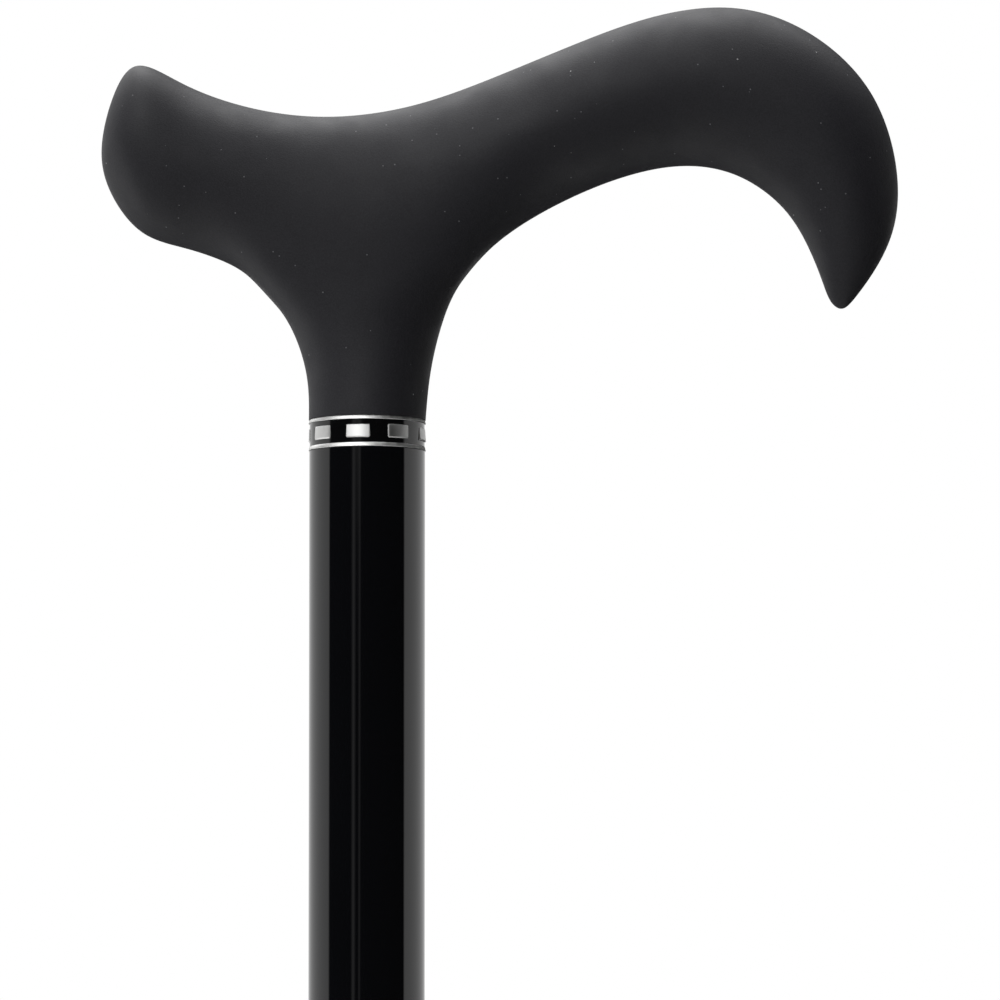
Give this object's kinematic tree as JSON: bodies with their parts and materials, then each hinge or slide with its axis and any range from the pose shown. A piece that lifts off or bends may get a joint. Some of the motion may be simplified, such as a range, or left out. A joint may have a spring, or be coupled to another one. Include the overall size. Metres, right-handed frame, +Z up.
{
  "type": "quad walking cane",
  "caption": "Height-adjustable walking cane with a hooked derby handle, a decorative collar and a swivelling base on rubber-tipped bent-tube legs.",
  "frame": {"origin": "on the floor, at the centre of the footprint of the four rubber tips", "axes": "+Z up along the shaft, +X towards the handle's hooked nose, +Y towards the outer pair of legs, away from the user"},
  "size_m": [0.205, 0.152, 0.8511],
  "materials": {
    "soft_touch_black": "soft-touch coated, matte",
    "nylon_black": "moulded, satin",
    "gloss_black_tube": "gloss black on aluminium",
    "satin_black_tube": "satin black on aluminium",
    "powder_coat_black": "fine powder coat on steel tube",
    "powder_coat_black_hub": "fine powder coat on cast aluminium",
    "bright_metal": "polished",
    "black_enamel": "gloss",
    "zinc_steel": "zinc plated",
    "spring_steel": "plain",
    "aluminium": "turned",
    "tip_rubber": "matte"
  },
  "bodies": {
    "base": {"base_hub": "powder_coat_black_hub", "swivel_bush": "nylon_black", "clamp_nut": "zinc_steel", "inner_arch": "powder_coat_black", "outer_arch": "powder_coat_black", "inner_arch_screw": "zinc_steel", "outer_arch_screw": "zinc_steel", "inner_front_tip": "tip_rubber", "inner_rear_tip": "tip_rubber", "outer_front_tip": "tip_rubber", "outer_rear_tip": "tip_rubber", "inner_front_tip_washer": "zinc_steel", "inner_rear_tip_washer": "zinc_steel", "outer_front_tip_washer": "zinc_steel", "outer_rear_tip_washer": "zinc_steel"},
    "lower_shaft": {"lower_tube": "satin_black_tube", "glide_bush": "nylon_black", "button_spring": "spring_steel", "shaft_plug": "aluminium", "plug_pin": "spring_steel", "pivot_screw": "zinc_steel", "pivot_washer": "zinc_steel"},
    "upper_shaft": {"upper_tube": "gloss_black_tube", "grip_skin": "soft_touch_black", "handle_core": "nylon_black", "handle_spigot": "aluminium", "handle_screw": "zinc_steel", "collar_ring": "bright_metal", "collar_enamel": "black_enamel", "collet_bush": "nylon_black"},
    "lock_ring": {"lock_ring": "nylon_black"},
    "height_button": {"height_button": "zinc_steel"},
    "clamp_knob": {"clamp_knob": "nylon_black", "clamp_stud": "zinc_steel"}
  },
  "joints": [
    {"name": "base_swivel", "type": "hinge", "parent": "base", "child": "lower_shaft", "pos_m": [0, -0.02, 0.15], "axis": [0, 0, 1], "range_deg": [0, 180]},
    {"name": "height_slide", "type": "slide", "parent": "lower_shaft", "child": "upper_shaft", "axis": [0, 0, 1], "range_m": [-0.075, 0.075]},
    {"name": "lock_ring_turn", "type": "hinge", "parent": "upper_shaft", "child": "lock_ring", "pos_m": [0, -0.02, 0.251], "axis": [0, 0, 1], "range_deg": [0, 270]},
    {"name": "height_button_press", "type": "slide", "parent": "lower_shaft", "child": "height_button", "axis": [0, 1, 0], "range_m": [0, 0.0042], "stiffness_N_per_m": 1500, "springref_m": -0.002, "deforming": ["button_spring"]},
    {"name": "clamp_knob_turn", "type": "hinge", "parent": "base", "child": "clamp_knob", "pos_m": [-0.028, -0.02, 0.134], "axis": [0, 1, 0], "range_deg": [0, 360]}
  ]
}
